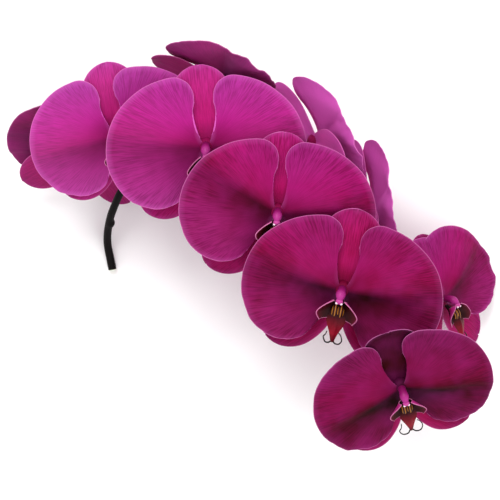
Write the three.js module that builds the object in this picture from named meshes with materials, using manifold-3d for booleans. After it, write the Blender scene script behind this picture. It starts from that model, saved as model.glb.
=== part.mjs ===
// A cut spray of a large-flowered moth orchid, lying on a flat surface and drawn in millimetres.
// +Z is up. +X runs along the spray towards its tip. The origin is under the middle of the spray.
// One stem carries ten open blooms: five face up in a shingled row, five face away to both sides.
import * as THREE from "three";
import { mergeVertices } from "three/addons/utils/BufferGeometryUtils.js";
import Module from "manifold-3d";

const wasm = await Module();
wasm.setup();

// Petals and sepals
const TEPAL_THICKNESS = 0.8;
const CLAW_HALF_WIDTH = 3.6;
const PETAL_Z = 0.3;
const CLAW_START = 1.2;
const PETAL_ROWS = 4;
const PETAL_COLUMNS = 10;
const CREASE_ANGLE = 5;
const RIDGE_HEIGHT = 3.4;
const RIDGE_SWELL = 1.3;
const RIDGE_WIDTH_ABOVE = 11;
const RIDGE_WIDTH_BELOW = 4;
const UPPER_FALL = 0.1;
const LOWER_CURL = 0.0045;
const MARGIN_WAVE = 0.7;
const WAVE_ACROSS = 0.21;
const WAVE_UP = 0.33;
const SEPAL_Z = -2.4;
const SEPAL_ROWS = 5;
const SEPAL_COLUMNS = 3;
const SEPAL_CROWDING = 1.7;
const SEPAL_TIP_HALF_WIDTH = 0.8;
const HOOD_POWER = 6;
const DORSAL_SEPAL = { length: 41, base: 5, halfWidth: 15.5, fullest: 0.62, fall: 0.14, cup: 0.004 };
const LATERAL_SEPAL = { length: 47.5, base: 4, halfWidth: 14.8, fullest: 0.64, fall: 0.07, cup: 0.003 };

// Outline of a right petal, seen from the front, from the lower side of its claw round to the upper side
const PETAL_OUTLINE = [
  [9, -15],
  [15, -26],
  [27, -29.5],
  [40, -25],
  [49, -13],
  [51, 2.5],
  [45, 19],
  [31.5, 31],
  [16, 36],
  [8.5, 34],
  [5, 29],
  [4.4, 23],
];
const CREASE_REACH = 51;
const WAIST_BOW = 2.2;
const WAIST_FROM = 0.68;

// Middle of the bloom
const HUB_RADIUS = 4.6;
const HUB_Z = -2.4;
const SEAT_GAP = 0.35;
const COLUMN_LENGTH = 8;
const COLUMN_RADIUS = 2.6;
const CAP_RADIUS = 3;
const COLUMN_NOD = 8;
const COLUMN_RISE = 0.6;

// Lip. Its midlobe starts on the hub, below the column, and follows the other points of its spine.
// Half-widths are given by the share of that length.
const LIP_SEAT_ANGLE = 38;
const MIDLOBE_THICKNESS = 1.4;
const MIDLOBE_SPINE = [
  [0, -8, 7],
  [0, -15, 9.5],
  [0, -25, 8.5],
];
const MIDLOBE_HALF_WIDTHS = [
  [0, 1],
  [0.3, 2.6],
  [0.55, 5.6],
  [0.8, 3.6],
  [1, 0.8],
];
const MIDLOBE_KEEL = 0.03;
const SIDE_LOBE_THICKNESS = 0.9;
const SIDE_LOBE_BULGE = 1.5;
const SIDE_LOBE_FOOT = [
  [2.6, -12.6, 8.4],
  [2.4, -8.6, 6.4],
  [1.6, -5, 4.4],
];
const SIDE_LOBE_RIM = [
  [8.4, -14.2, 10],
  [10.4, -9.6, 11.4],
  [8, -4.8, 12.2],
  [3.8, -2, 10.8],
];
const CALLUS_RADIUS = 2.4;
const CALLUS_AT = [0, -7.4, 6.4];

// Stem
const STEM_RADIUS = 2.3;
const RACHIS_TIP_RADIUS = 1.3;
const PEDICEL_RADIUS = 1.5;
const PEDICEL_LEAD = 8;
const PEDICEL_BEND = 9;
const NODE_SWELLING = 0.7;
const NODE_SPREAD = 0.012;
const STEM_SIDES = 8;
const STEM_STEPS = 22;
const PEDICEL_SIDES = 6;
const PEDICEL_STEPS = 4;

// Centre line of the peduncle and rachis, from the cut end to the tip
const STEM_LINE = [
  [-78.6, -10.4, 2.3],
  [-79.8, -4, 3.2],
  [-81, 4.5, 7],
  [-80, 13, 14],
  [-76.5, 23, 24],
  [-69, 36, 34],
  [-54, 50, 40],
  [-30, 60, 42],
  [-4, 58, 43],
  [17, 44, 44],
  [35, 22, 46],
  [52, -4, 49],
  [67, -30, 50],
  [76, -48, 51],
];
const STEM_NODE_AT = 0.1;

// The blooms. at: the middle of the bloom. yaw turns its face to the right, pitch nods it down the page,
// roll turns it in the page. stem: how far along the stem line its pedicel starts.
// Where they differ from the plain bloom: scale is its size, droop is how far the left and right petals
// hang, fold is how far they swing back, and hood is how far the dorsal sepal bends forward. lateral is
// how far round from the dorsal sepal the lateral sepals stand, and how far they swing forward.
const UNBENT = { scale: 0.95, droop: [0, 0], fold: [0, 0], hood: 0, lateral: [133, 0] };
const BLOOMS = [
  { at: [-71, 61.5, 57], yaw: 3, pitch: 24, roll: 9, stem: 0.36, scale: 0.95, droop: [6, -6], fold: [8, 0] },
  { at: [-24, 54.5, 73], yaw: -2, pitch: 14, roll: 6, stem: 0.47, scale: 1.03, droop: [-2, 4] },
  { at: [13.2, 20, 82], yaw: 0, pitch: 14, roll: -5, stem: 0.66, scale: 1, droop: [-6, -6] },
  { at: [46.3, -20.2, 91], yaw: -5, pitch: 15, roll: -10, stem: 0.8, scale: 1.02 },
  {
    at: [76.6, -70, 90.5],
    yaw: 0,
    pitch: 37,
    roll: 15,
    stem: 0.93,
    scale: 0.93,
    droop: [7, 1],
    fold: [-5, -5],
    hood: 8,
    lateral: [135, 12],
  },
  { at: [-89, 57, 27.5], yaw: -160, pitch: 40, roll: -24, stem: 0.39, scale: 0.89 },
  { at: [-17, 91.5, 37.75], yaw: 105, pitch: 0, roll: 60, stem: 0.52, fold: [0, 25] },
  { at: [36, 60, 44.5], yaw: 107, pitch: -17, roll: 28, stem: 0.63, droop: [14, 0], fold: [0, 5] },
  { at: [63.7, 22.5, 38], yaw: 100, pitch: -14, roll: 2, stem: 0.74, fold: [0, 30] },
  { at: [104.5, -27, 32.1], yaw: 45, pitch: 10, roll: 12, stem: 0.83, scale: 0.91, droop: [-24, -27] },
].map((bloom) => ({ ...UNBENT, ...bloom }));

// Moves the spray so that the middle of its footprint is over the origin
const FOOTPRINT_SHIFT = [-1, -4, 0];

const PETAL_COLOUR = 0xa51c70;
const LIP_COLOUR = 0x7a1030;
const COLUMN_COLOUR = 0xc94a8c;
const STEM_COLOUR = 0x1d1a1c;

const radians = THREE.MathUtils.degToRad;
const lerp = THREE.MathUtils.lerp;

// Closed meshes as solids that can be joined, and back

function solidOf(geometry) {
  const bare = geometry.index ? geometry.toNonIndexed() : geometry.clone();
  bare.deleteAttribute("normal");
  bare.deleteAttribute("uv");
  const merged = mergeVertices(bare, 1e-4);
  return new wasm.Manifold(
    new wasm.Mesh({
      numProp: 3,
      vertProperties: new Float32Array(merged.attributes.position.array),
      triVerts: new Uint32Array(merged.index.array),
    }),
  );
}

// Joins closed meshes into one body. Scraps without volume that a join leaves are dropped.
function fused(geometries) {
  const joined = geometries.map(solidOf).reduce((whole, piece) => whole.add(piece));
  return joined.decompose().reduce((largest, body) => (body.volume() > largest.volume() ? body : largest));
}

function meshOf(name, solid, material) {
  const { numProp, numVert, vertProperties, triVerts } = solid.getMesh();
  const positions = new Float32Array(numVert * 3);
  for (let i = 0; i < numVert; i++) {
    positions.set(vertProperties.subarray(i * numProp, i * numProp + 3), i * 3);
  }
  const geometry = new THREE.BufferGeometry();
  geometry.setAttribute("position", new THREE.BufferAttribute(positions, 3));
  geometry.setIndex(new THREE.BufferAttribute(new Uint32Array(triVerts), 1));
  geometry.computeVertexNormals();
  const mesh = new THREE.Mesh(geometry, material);
  mesh.name = name;
  return mesh;
}

// Thin sheets: a middle surface with a face on either side and a wall round its margin

function normalAt(surface, u, v) {
  const step = 1e-3;
  const u0 = Math.min(u, 1 - step);
  const v0 = Math.min(v, 1 - step);
  const along = surface(u0 + step, v).sub(surface(u0, v));
  const across = surface(u, v0 + step).sub(surface(u, v0));
  return along.cross(across).normalize();
}

function blade(surface, rows, columns, thickness) {
  const positions = [];
  for (const side of [0.5, -0.5]) {
    for (let i = 0; i <= rows; i++) {
      for (let j = 0; j <= columns; j++) {
        const u = i / rows;
        const v = j / columns;
        const point = surface(u, v).addScaledVector(normalAt(surface, u, v), side * thickness);
        positions.push(point.x, point.y, point.z);
      }
    }
  }
  const width = columns + 1;
  const under = width * (rows + 1);
  const index = [];
  const quad = (a, b, c, d) => index.push(a, b, c, a, c, d);
  for (let i = 0; i < rows; i++) {
    for (let j = 0; j < columns; j++) {
      const a = i * width + j;
      const b = a + width;
      quad(a, b, b + 1, a + 1);
      index.push(under + a, under + b + 1, under + b, under + a, under + a + 1, under + b + 1);
    }
  }
  const wall = (a, b) => quad(a, under + a, under + b, b);
  for (let j = 0; j < columns; j++) {
    wall(j + 1, j);
    wall(rows * width + j, rows * width + j + 1);
  }
  for (let i = 0; i < rows; i++) {
    wall(i * width, (i + 1) * width);
    wall((i + 1) * width + columns, i * width + columns);
  }
  const geometry = new THREE.BufferGeometry();
  geometry.setAttribute("position", new THREE.Float32BufferAttribute(positions, 3));
  geometry.setIndex(index);
  return geometry;
}

// Round stems: a ring of sides carried along a curve, with a radius of its own at each step

function taperedTube(curve, radiusAt, steps, sides) {
  const frames = curve.computeFrenetFrames(steps, false);
  const positions = [];
  for (let i = 0; i <= steps; i++) {
    const centre = curve.getPointAt(i / steps);
    const radius = radiusAt(i / steps);
    for (let k = 0; k < sides; k++) {
      const turn = (2 * Math.PI * k) / sides;
      const point = centre
        .clone()
        .addScaledVector(frames.normals[i], radius * Math.cos(turn))
        .addScaledVector(frames.binormals[i], radius * Math.sin(turn));
      positions.push(point.x, point.y, point.z);
    }
  }
  const index = [];
  for (let i = 0; i < steps; i++) {
    for (let k = 0; k < sides; k++) {
      const a = i * sides + k;
      const b = i * sides + ((k + 1) % sides);
      index.push(a, b, b + sides, a, b + sides, a + sides);
    }
  }
  const last = steps * sides;
  for (let k = 1; k < sides - 1; k++) {
    index.push(0, k + 1, k, last, last + k, last + k + 1);
  }
  const geometry = new THREE.BufferGeometry();
  geometry.setAttribute("position", new THREE.Float32BufferAttribute(positions, 3));
  geometry.setIndex(index);
  return geometry;
}

// Petals

const outline = new THREE.SplineCurve(PETAL_OUTLINE.map(([x, y]) => new THREE.Vector2(x, y)));
outline.arcLengthDivisions = 400;

// How far round the outline the crease of the petal meets the margin
function creaseShare(angle) {
  let low = 0.2;
  let high = 0.7;
  for (let i = 0; i < 30; i++) {
    const middle = (low + high) / 2;
    const point = outline.getPointAt(middle);
    if (Math.atan2(point.y, point.x) < angle) low = middle;
    else high = middle;
  }
  return low;
}

const CREASE_SHARE = creaseShare(radians(CREASE_ANGLE));

// A ridge runs out along the crease. Above it the petal falls back, below it drops and then curls forward.
function petalHeight(x, y) {
  const reach = Math.hypot(x, y) / CREASE_REACH;
  const above = y - x * Math.tan(radians(CREASE_ANGLE));
  const width = above > 0 ? RIDGE_WIDTH_ABOVE : RIDGE_WIDTH_BELOW;
  const swell = Math.sin(Math.PI * Math.min(1, reach)) ** RIDGE_SWELL;
  const ridge = RIDGE_HEIGHT * swell * Math.exp(-Math.abs(above) / width);
  const lean = above > 0 ? -UPPER_FALL * above : LOWER_CURL * above * above;
  const wave = MARGIN_WAVE * reach ** 3 * Math.sin(WAVE_ACROSS * x + WAVE_UP * y);
  return PETAL_Z + ridge + lean * Math.min(1, 2 * reach) + wave;
}

function petalSurface(u, v) {
  const share = v < 0.5 ? lerp(0, CREASE_SHARE, 2 * v) : lerp(CREASE_SHARE, 1, 2 * v - 1);
  const margin = outline.getPointAt(Math.min(1, Math.max(0, share)));
  const waist = Math.max(0, (v - WAIST_FROM) / (1 - WAIST_FROM));
  const bow = WAIST_BOW * waist * 4 * u * (1 - u);
  const x = lerp(CLAW_START, margin.x, u) + bow;
  const y = lerp(lerp(-CLAW_HALF_WIDTH, CLAW_HALF_WIDTH, v), margin.y, u);
  return new THREE.Vector3(x, y, petalHeight(x, y));
}

function rightPetal(droop, fold) {
  const petal = blade(petalSurface, PETAL_ROWS, PETAL_COLUMNS, TEPAL_THICKNESS);
  return petal.rotateY(radians(fold)).rotateZ(radians(-droop));
}

function leftPetal(droop, fold) {
  const mirrored = (u, v) => petalSurface(u, 1 - v).multiply(new THREE.Vector3(-1, 1, 1));
  const petal = blade(mirrored, PETAL_ROWS, PETAL_COLUMNS, TEPAL_THICKNESS);
  return petal.rotateY(radians(-fold)).rotateZ(radians(droop));
}

// Sepals, each drawn pointing up the page and then turned round the middle of the bloom

// A sepal widens from its base to its fullest part and then ends in half an ellipse
function sepalHalfWidth(form, reach) {
  if (reach < form.fullest) {
    return lerp(form.base, form.halfWidth, Math.sin((0.5 * Math.PI * reach) / form.fullest));
  }
  const past = Math.min(1, (reach - form.fullest) / (1 - form.fullest));
  return Math.max(SEPAL_TIP_HALF_WIDTH, form.halfWidth * Math.sqrt(1 - past * past));
}

function sepal(form, turn, hood) {
  const surface = (u, v) => {
    const reach = 1 - Math.max(0, 1 - u) ** SEPAL_CROWDING;
    const side = (1 - 2 * v) * sepalHalfWidth(form, reach);
    const along = reach * form.length;
    const height = SEPAL_Z - form.fall * along + form.cup * side * side + hood * reach ** HOOD_POWER;
    return new THREE.Vector3(-side, along, height);
  };
  const facing = (u, v) => surface(u, 1 - v);
  return blade(facing, SEPAL_ROWS, SEPAL_COLUMNS, TEPAL_THICKNESS).rotateZ(radians(turn));
}

function lateralSepal(hand, [angle, lift]) {
  return sepal(LATERAL_SEPAL, -hand * angle, 0).rotateX(radians(-lift));
}

function hub() {
  return new THREE.SphereGeometry(HUB_RADIUS, 8, 5).translate(0, 0, HUB_Z);
}

function perianth(bloom) {
  return fused([
    hub(),
    sepal(DORSAL_SEPAL, 0, bloom.hood),
    lateralSepal(-1, bloom.lateral),
    lateralSepal(1, bloom.lateral),
    leftPetal(bloom.droop[0], bloom.fold[0]),
    rightPetal(bloom.droop[1], bloom.fold[1]),
  ]);
}

// Column: a short round pillar over the lip, with the anther cap at its end

function column() {
  const front = HUB_Z + HUB_RADIUS + SEAT_GAP;
  const profile = [
    [0, 0],
    [COLUMN_RADIUS, 0],
    [COLUMN_RADIUS * 0.9, COLUMN_LENGTH * 0.5],
    [CAP_RADIUS, COLUMN_LENGTH * 0.8],
    [CAP_RADIUS * 0.75, COLUMN_LENGTH],
    [0, COLUMN_LENGTH * 1.08],
  ].map(([radius, height]) => new THREE.Vector2(radius, height));
  const pillar = new THREE.LatheGeometry(profile, 8).rotateX(Math.PI / 2);
  return fused([pillar.rotateX(radians(COLUMN_NOD)).translate(0, COLUMN_RISE, front)]);
}

// Lip: a midlobe that runs forward and down, and two side lobes that stand up beside the column

function midlobe() {
  const seat = HUB_RADIUS + SEAT_GAP;
  const below = radians(LIP_SEAT_ANGLE);
  const root = new THREE.Vector3(0, -seat * Math.sin(below), HUB_Z + seat * Math.cos(below));
  const rest = MIDLOBE_SPINE.map((point) => new THREE.Vector3(...point));
  const spine = new THREE.CatmullRomCurve3([root, ...rest]);
  const widths = new THREE.SplineCurve(MIDLOBE_HALF_WIDTHS.map((point) => new THREE.Vector2(...point)));
  const surface = (u, v) => {
    const half = widths.getPoint(u).y;
    const side = (2 * v - 1) * half;
    const keel = -MIDLOBE_KEEL * side * side;
    return spine.getPoint(u).add(new THREE.Vector3(-side, 0, keel));
  };
  return blade((u, v) => surface(u, 1 - v), 4, 2, MIDLOBE_THICKNESS);
}

function sideLobe(hand) {
  const foot = new THREE.CatmullRomCurve3(SIDE_LOBE_FOOT.map((point) => new THREE.Vector3(...point)));
  const rim = new THREE.CatmullRomCurve3(SIDE_LOBE_RIM.map((point) => new THREE.Vector3(...point)));
  const surface = (u, v) => {
    const point = foot.getPoint(v).lerp(rim.getPoint(v), u);
    point.x += SIDE_LOBE_BULGE * Math.sin(Math.PI * u);
    return point.multiply(new THREE.Vector3(hand, 1, 1));
  };
  const facing = hand > 0 ? surface : (u, v) => surface(u, 1 - v);
  return blade(facing, 2, 3, SIDE_LOBE_THICKNESS);
}

function callus() {
  return new THREE.SphereGeometry(CALLUS_RADIUS, 5, 3).scale(1, 1.4, 0.9).translate(...CALLUS_AT);
}

function lip() {
  return fused([midlobe(), sideLobe(1), sideLobe(-1), callus()]);
}

// Stem with its pedicels

function placed(bloom) {
  const group = new THREE.Group();
  group.position.set(...bloom.at);
  const turn = new THREE.Matrix4()
    .makeRotationZ(radians(bloom.roll))
    .multiply(new THREE.Matrix4().makeRotationX(radians(bloom.pitch)))
    .multiply(new THREE.Matrix4().makeRotationY(radians(bloom.yaw)));
  group.quaternion.setFromRotationMatrix(turn);
  group.scale.setScalar(bloom.scale);
  group.updateMatrixWorld(true);
  return group;
}

function stem() {
  const line = new THREE.CatmullRomCurve3(STEM_LINE.map((point) => new THREE.Vector3(...point)));
  const radiusAt = (share) => {
    const node = NODE_SWELLING * Math.exp(-(((share - STEM_NODE_AT) / NODE_SPREAD) ** 2));
    return lerp(STEM_RADIUS, RACHIS_TIP_RADIUS, share) + node;
  };
  const pieces = [taperedTube(line, radiusAt, STEM_STEPS, STEM_SIDES)];
  for (const bloom of BLOOMS) {
    const place = placed(bloom);
    const back = new THREE.Vector3(0, 0, HUB_Z - HUB_RADIUS - SEAT_GAP);
    const end = place.localToWorld(back.clone());
    const bend = place.localToWorld(back.clone().add(new THREE.Vector3(0, 0, -PEDICEL_BEND)));
    const start = line.getPointAt(bloom.stem);
    const along = line.getTangentAt(bloom.stem).multiplyScalar(PEDICEL_LEAD);
    const route = new THREE.CubicBezierCurve3(start, start.clone().add(along), bend, end);
    pieces.push(taperedTube(route, () => PEDICEL_RADIUS, PEDICEL_STEPS, PEDICEL_SIDES));
  }
  return fused(pieces);
}

// The whole spray

function coloured(color, roughness) {
  return new THREE.MeshStandardMaterial({ color, roughness, metalness: 0 });
}

function spray() {
  const petals = coloured(PETAL_COLOUR, 0.6);
  const lips = coloured(LIP_COLOUR, 0.4);
  const columns = coloured(COLUMN_COLOUR, 0.45);
  const whole = new THREE.Group();
  whole.position.set(...FOOTPRINT_SHIFT);
  whole.add(meshOf("stem", stem(), coloured(STEM_COLOUR, 0.5)));
  const lipSolid = lip();
  const columnSolid = column();
  BLOOMS.forEach((bloom, i) => {
    const group = placed(bloom);
    group.add(meshOf(`bloom_${i + 1}`, perianth(bloom), petals));
    group.add(meshOf(`lip_${i + 1}`, lipSolid, lips));
    group.add(meshOf(`column_${i + 1}`, columnSolid, columns));
    whole.add(group);
  });
  return whole;
}

export default spray();
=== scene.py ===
# %% [markdown]
# # A cut moth orchid spray
#
# Ten open blooms on one arching stalk, cut and laid down on a pale table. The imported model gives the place
# and the rough form of every bloom, lip and column. This lesson replaces those plain solids with fine petals
# that follow the same lines, and gives each surface the finish of the living flower.

# %% Load the frame
import math

import bpy
import numpy as np
from mathutils import Matrix, Vector


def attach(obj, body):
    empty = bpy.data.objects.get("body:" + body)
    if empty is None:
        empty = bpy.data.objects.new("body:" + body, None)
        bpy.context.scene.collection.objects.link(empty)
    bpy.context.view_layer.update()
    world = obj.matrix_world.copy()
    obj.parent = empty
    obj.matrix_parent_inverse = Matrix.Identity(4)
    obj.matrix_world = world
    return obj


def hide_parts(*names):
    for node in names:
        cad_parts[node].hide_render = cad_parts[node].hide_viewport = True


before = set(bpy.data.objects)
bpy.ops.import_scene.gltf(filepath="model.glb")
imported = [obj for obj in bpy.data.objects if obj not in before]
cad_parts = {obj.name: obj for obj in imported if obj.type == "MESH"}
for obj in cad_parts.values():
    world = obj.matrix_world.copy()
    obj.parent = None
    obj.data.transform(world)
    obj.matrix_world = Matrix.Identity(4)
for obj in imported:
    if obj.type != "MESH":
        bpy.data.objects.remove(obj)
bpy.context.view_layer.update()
print("nodes in the frame:", len(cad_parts))

# %% [markdown]
# The flower was measured in millimetres, and Blender works in metres, so one factor turns the one into the
# other. Each row of the table says where a bloom sits and how it is turned. Yaw turns its face to the right,
# pitch nods it down the page and roll turns it in the page, in degrees. The shade numbers say how much shade
# is painted on the left petal, the right petal and the upper sepal, as those turned from the light are
# darker. Crease is the angle of the fold in the left and right petals. A plain list is the clearest way to
# hold ten blooms: no two of them hang alike on a real spray.

# %% The blooms
MM = 0.001
FOOTPRINT_SHIFT = (-1, -4, 0)
BLOOMS = [
    dict(at=(-71, 61.5, 57), yaw=3, pitch=24, roll=9, stem=0.36, scale=0.95, droop=(6, -6), fold=(8, 0),
         crease=(2, 5)),
    dict(at=(-24, 54.5, 73), yaw=-2, pitch=14, roll=6, stem=0.47, scale=1.03, droop=(-2, 4),
         deep=(0.12, 0.12, 0.12), crease=(11, 5)),
    dict(at=(13.2, 20, 82), yaw=0, pitch=14, roll=-5, stem=0.66, scale=1, droop=(-6, -6),
         deep=(0.5, 0.45, 0.3), crease=(28, 4)),
    dict(at=(46.3, -20.2, 91), yaw=-5, pitch=15, roll=-10, stem=0.8, scale=1.02, deep=(0.75, 0.8, 0.6),
         crease=(12, 9)),
    dict(at=(76.6, -70, 90.5), yaw=0, pitch=37, roll=15, stem=0.93, scale=0.93, droop=(7, 1), fold=(-5, -5),
         hood=8, lateral=(135, 12), deep=(1, 1.1, 1.6), crease=(-4, -5)),
    dict(at=(-89, 57, 27.5), yaw=-160, pitch=40, roll=-24, stem=0.39, scale=0.89, deep=(1, 1, 1)),
    dict(at=(-17, 91.5, 37.75), yaw=105, pitch=0, roll=60, stem=0.52, fold=(0, 25), deep=(0.7, 0.7, 0.7)),
    dict(at=(36, 60, 44.5), yaw=107, pitch=-17, roll=28, stem=0.63, droop=(14, 0), fold=(0, 5)),
    dict(at=(63.7, 22.5, 38), yaw=100, pitch=-14, roll=2, stem=0.74, fold=(0, 30)),
    dict(at=(104.5, -27, 32.1), yaw=45, pitch=10, roll=12, stem=0.83, scale=0.91, droop=(-24, -27),
         deep=(0.45, 0.45, 0.5)),
]
UNBENT = dict(scale=0.95, droop=(0, 0), fold=(0, 0), hood=0, lateral=(133, 0), deep=(0, 0, 0),
              crease=(5, 5))
BLOOMS = [dict(UNBENT, **bloom) for bloom in BLOOMS]


def placement(bloom):
    """The matrix that carries a bloom's own millimetres to its place in the frame, in metres."""
    turn = Matrix.Rotation(math.radians(bloom["roll"]), 4, "Z")
    turn = turn @ Matrix.Rotation(math.radians(bloom["pitch"]), 4, "X")
    turn = turn @ Matrix.Rotation(math.radians(bloom["yaw"]), 4, "Y")
    at = (Vector(bloom["at"]) + Vector(FOOTPRINT_SHIFT)) * MM
    return Matrix.Translation(at) @ turn @ Matrix.Scale(bloom["scale"] * MM, 4)


print("blooms:", len(BLOOMS))

# %% [markdown]
# Petals, sepals, lips and the stalk are all drawn from a few points with a smooth line through them. Blender
# has curve objects for that, but a small function gives the points straight away as numbers, which the
# surfaces below need. The line is a Catmull-Rom spline: it passes through each point, and it leaves each
# point in the direction of its two neighbours.

# %% Smooth lines


def smooth_line(points, shares, even=True):
    """Points along a smooth line, at shares from 0 to 1 of its length, or of its point count."""
    points = np.asarray(points, float)
    ends = (2 * points[0] - points[1], 2 * points[-1] - points[-2])
    padded = np.vstack([ends[0], points, ends[1]])
    shares = np.asarray(shares, float)
    t = np.linspace(0, 1, 50 * (len(points) - 1) + 1) if even else shares
    t = t * (len(points) - 1)
    i = np.minimum(t.astype(int), len(points) - 2)
    w = (t - i)[:, None]
    a, b, c, d = (padded[i + k] for k in range(4))
    line = b + 0.5 * w * (c - a + w * (2 * a - 5 * b + 4 * c - d + w * (3 * b - 3 * c + d - a)))
    if not even:
        return line
    run = np.concatenate([[0], np.cumsum(np.linalg.norm(np.diff(line, axis=0), axis=1))])
    return np.stack([np.interp(shares * run[-1], run, line[:, k]) for k in range(points.shape[1])], -1)


def mix(a, b, share):
    """A value between a and b."""
    return a + (b - a) * share


print("a line through 3 points, halfway:", smooth_line([(0, 0), (1, 1), (2, 0)], [0.5])[0])

# %% [markdown]
# A petal is a thin sheet. Blender's Solidify modifier could thicken a flat grid, but here the thickness
# fades towards the margin, as on the real petal, so both faces and the wall between them are made in one go.
# Each vertex also carries marks: how far it is from the margin, how far along the petal it lies, and
# which face it is on. The materials read these marks, so the veins and the pale rim follow the petal's form.

# %% Thin sheets
MARGIN_THICKNESS = 0.35
MIDDLE_GAIN = 0.5


def grid_normals(points):
    """The direction that a grid of points faces, at each point."""
    normal = np.cross(np.gradient(points, axis=0), np.gradient(points, axis=1))
    return normal / np.maximum(np.linalg.norm(normal, axis=-1, keepdims=True), 1e-9)


def sheet(points, thickness, marks):
    """A closed sheet round a grid of middle points. thickness is a number or a grid of them."""
    rows, columns = points.shape[:2]
    half = np.broadcast_to(np.asarray(thickness, float) / 2, (rows, columns))[..., None]
    normal = grid_normals(points)
    upper, lower = points + normal * half, points - normal * half
    vertices = np.concatenate([upper.reshape(-1, 3), lower.reshape(-1, 3)])
    index = np.arange(rows * columns).reshape(rows, columns)
    under = rows * columns
    a, b, c, d = index[:-1, :-1], index[1:, :-1], index[1:, 1:], index[:-1, 1:]
    faces = np.stack([a, b, c, d], -1).reshape(-1, 4).tolist()
    faces += (np.stack([a, d, c, b], -1).reshape(-1, 4) + under).tolist()
    for line in (index[0, ::-1], index[:, 0], index[-1], index[::-1, -1]):
        faces += [[q, p, p + under, q + under] for p, q in zip(line[:-1].tolist(), line[1:].tolist())]
    values = {
        name: np.tile(np.broadcast_to(grid, (rows, columns)).ravel(), 2) for name, grid in marks.items()
    }
    values["face"] = np.repeat([1.0, 0.0], under)
    return vertices, faces, values


def fleshy(edge, thick_from):
    """A thickness that grows from the margin to a point that lies thick_from inside it."""
    return MARGIN_THICKNESS + MIDDLE_GAIN * np.clip(edge / thick_from, 0, 1)


def handed(hand, points, marks):
    """A right-hand grid as it is for hand 1, or its mirror image for hand -1."""
    if hand > 0:
        return points, marks
    flipped = {name: grid[:, ::-1] if np.ndim(grid) == 2 else grid for name, grid in marks.items()}
    return points[:, ::-1] * (-1, 1, 1), flipped


def turned(points, degrees, axis):
    """Points turned about an axis of the frame."""
    return points @ np.array(Matrix.Rotation(math.radians(degrees), 3, axis)).T


print("faces of a 2 by 2 sheet:", len(sheet(np.zeros((2, 2, 3)), 1, {})[1]))

# %% [markdown]
# The stalk, the columns and the hair-thin tips of the lip are round. A ring of points carried along a line,
# with a radius of its own at each step, makes them all. A curve with a bevel would look the same, but it
# couldn't carry marks.

# %% Round tubes


def tube(line, radii, sides, marks=None):
    """A closed round tube along a line of points, with a radius at each point."""
    line = np.asarray(line, float)
    radii = np.broadcast_to(np.asarray(radii, float), len(line))
    ahead = np.gradient(line, axis=0)
    ahead /= np.linalg.norm(ahead, axis=1, keepdims=True)
    turn = np.linspace(0, 2 * math.pi, sides, endpoint=False)[:, None]
    side = np.cross(ahead[0], (0.31, 0.17, 0.93))
    rings = []
    for point, direction, radius in zip(line, ahead, radii):
        side = side - direction * side.dot(direction)
        side /= np.linalg.norm(side)
        rings.append(point + radius * (np.cos(turn) * side + np.sin(turn) * np.cross(direction, side)))
    vertices = np.vstack(rings)
    a = np.arange((len(line) - 1) * sides).reshape(-1, sides)
    b = np.roll(a, -1, axis=1)
    faces = np.stack([a, b, b + sides, a + sides], -1).reshape(-1, 4).tolist()
    faces += [list(range(sides))[::-1], list(range(len(vertices) - sides, len(vertices)))]
    values = {"along": np.repeat(np.linspace(0, 1, len(line)), sides)}
    values["around"] = np.tile(np.linspace(0, 1, sides, endpoint=False), len(line))
    values.update({name: np.full(len(vertices), float(value)) for name, value in (marks or {}).items()})
    return vertices, faces, values


print("faces of a short tube:", len(tube([(0, 0, 0), (0, 0, 1)], 1, 8)[1]))

# %% [markdown]
# Every finished piece goes into the frame by the same steps: its shells become one mesh with the marks as
# attributes, the mesh is moved to the bloom's place and hung from the root, and the plain solid that it
# stands for is hidden.

# %% Pieces
SHARP_FROM = 50


def make_piece(name, shells, material, matrix, node):
    """One object from several closed shells, in place in the frame, standing for a CAD node."""
    vertices, faces, values, start = [], [], {}, 0
    names = sorted({mark for shell in shells for mark in shell[2]})
    for points, sides, marks in shells:
        vertices.append(points)
        faces += [[start + i for i in face] for face in sides]
        for mark in names:
            values.setdefault(mark, []).append(marks.get(mark, np.zeros(len(points))))
        start += len(points)
    mesh = bpy.data.meshes.new(name)
    mesh.from_pydata(np.vstack(vertices).tolist(), [], faces)
    for mark in names:
        layer = mesh.attributes.new(mark, "FLOAT", "POINT")
        layer.data.foreach_set("value", np.concatenate(values[mark]).astype(np.float32))
    mesh.transform(matrix)
    mesh.shade_smooth()
    mesh.set_sharp_from_angle(angle=math.radians(SHARP_FROM))
    mesh.materials.append(material)
    piece = bpy.data.objects.new(name, mesh)
    bpy.context.scene.collection.objects.link(piece)
    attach(piece, "root")
    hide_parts(node)


print("solids that the pieces can stand for:", len(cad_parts))

# %% [markdown]
# Colours are given as sRGB hex values, the numbers of a paint picker. Shaders work with linear
# light, so one function turns each value to linear. A second small function adds a node to a material with
# its settings and its links, which keeps every material below short enough to read in one go.

# %% Colours and nodes


def linear(hex_value):
    """An sRGB hex colour such as "#b3207f" as linear red, green and blue, and an alpha of 1."""
    parts = [int(hex_value[i : i + 2], 16) / 255 for i in (1, 3, 5)]
    return [p / 12.92 if p <= 0.04045 else ((p + 0.055) / 1.055) ** 2.4 for p in parts] + [1.0]


def add_node(material, kind, inputs=None, **settings):
    """Adds a node. inputs are values, sockets to link from, or nodes to link from their first output."""
    tree = material.node_tree
    node = tree.nodes.new("ShaderNode" + kind)
    for name, value in settings.items():
        setattr(node, name, value)
    for name, value in (inputs or {}).items():
        if isinstance(value, bpy.types.Node):
            value = next(output for output in value.outputs if output.enabled)
        if isinstance(value, bpy.types.NodeSocket):
            tree.links.new(value, node.inputs[name])
        else:
            node.inputs[name].default_value = value
    return node


def new_material(name):
    """A material with a shader of its own, still in its plain settings."""
    material = bpy.data.materials.new(name)
    material.use_nodes = True
    return material


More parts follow.
